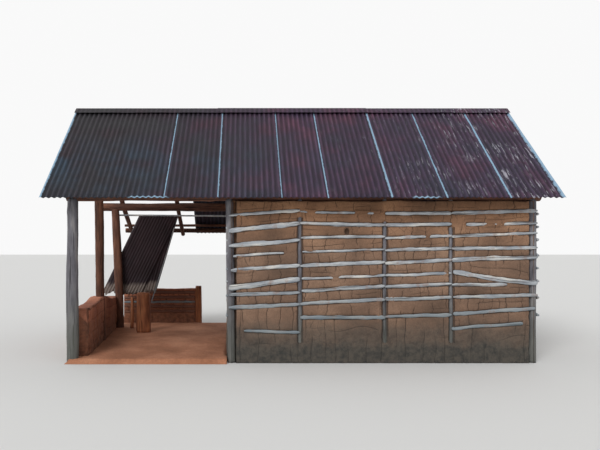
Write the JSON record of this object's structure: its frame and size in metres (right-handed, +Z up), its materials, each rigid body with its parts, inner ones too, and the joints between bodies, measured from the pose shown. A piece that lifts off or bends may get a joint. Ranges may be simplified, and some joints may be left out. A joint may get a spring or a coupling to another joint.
{
  "type": "wattle and daub house",
  "caption": "Small one-room wattle and daub house with an open kitchen porch under one gabled roof of corrugated sheets.",
  "frame": {"origin": "on the ground below the ridge, half-way along the roof, at the underside of the room's earth floor", "axes": "+X along the ridge from the porch to the room, +Y from the lath front wall to the back, +Z up"},
  "size_m": [7.03, 4.1507, 3.861],
  "materials": {
    "daub": "matte, cracked mud",
    "low_wall_mud": "matte, worn mud",
    "beaten_earth": "matte, trodden earth",
    "grey_timber": "weathered, bare",
    "brown_timber": "bare, darkened",
    "lath_wood": "weathered silver, bare",
    "roof_sheet": "rusted, satin",
    "screen_sheet": "sooty and rusted"
  },
  "bodies": {
    "root": {"front_wall": "daub", "rear_wall": "daub", "right_wall": "daub", "porch_wall_front": "daub", "porch_wall_rear": "daub", "porch_wall_over_door": "daub", "porch_gable": "daub", "right_gable": "daub", "left_low_wall": "low_wall_mud", "rear_low_wall": "low_wall_mud", "porch_floor": "beaten_earth", "room_floor": "beaten_earth", "porch_corner_post": "grey_timber", "room_corner_posts": "grey_timber", "wall_studs": "grey_timber", "porch_ridge_post": "brown_timber", "porch_rear_post": "brown_timber", "room_ridge_posts": "brown_timber", "door_jamb": "brown_timber", "door_lintel": "brown_timber", "front_plate": "brown_timber", "rear_plate": "brown_timber", "gable_ties": "brown_timber", "ridge_pole": "brown_timber", "front_rafters": "brown_timber", "rear_rafters": "brown_timber", "front_purlins": "brown_timber", "rear_purlins": "brown_timber", "rear_eave_poles": "brown_timber", "low_wall_end_post": "brown_timber", "hearth_log": "brown_timber", "hearth_prop": "brown_timber", "front_laths": "lath_wood", "rear_laths": "lath_wood", "right_laths": "lath_wood", "porch_wall_laths": "lath_wood", "low_wall_laths": "lath_wood", "rear_rail": "lath_wood", "screen_stick": "lath_wood", "front_under_sheets": "roof_sheet", "front_over_sheets": "roof_sheet", "rear_under_sheets": "roof_sheet", "rear_over_sheets": "roof_sheet", "ridge_cap": "roof_sheet", "screen_sheets": "screen_sheet"}
  },
  "joints": []
}
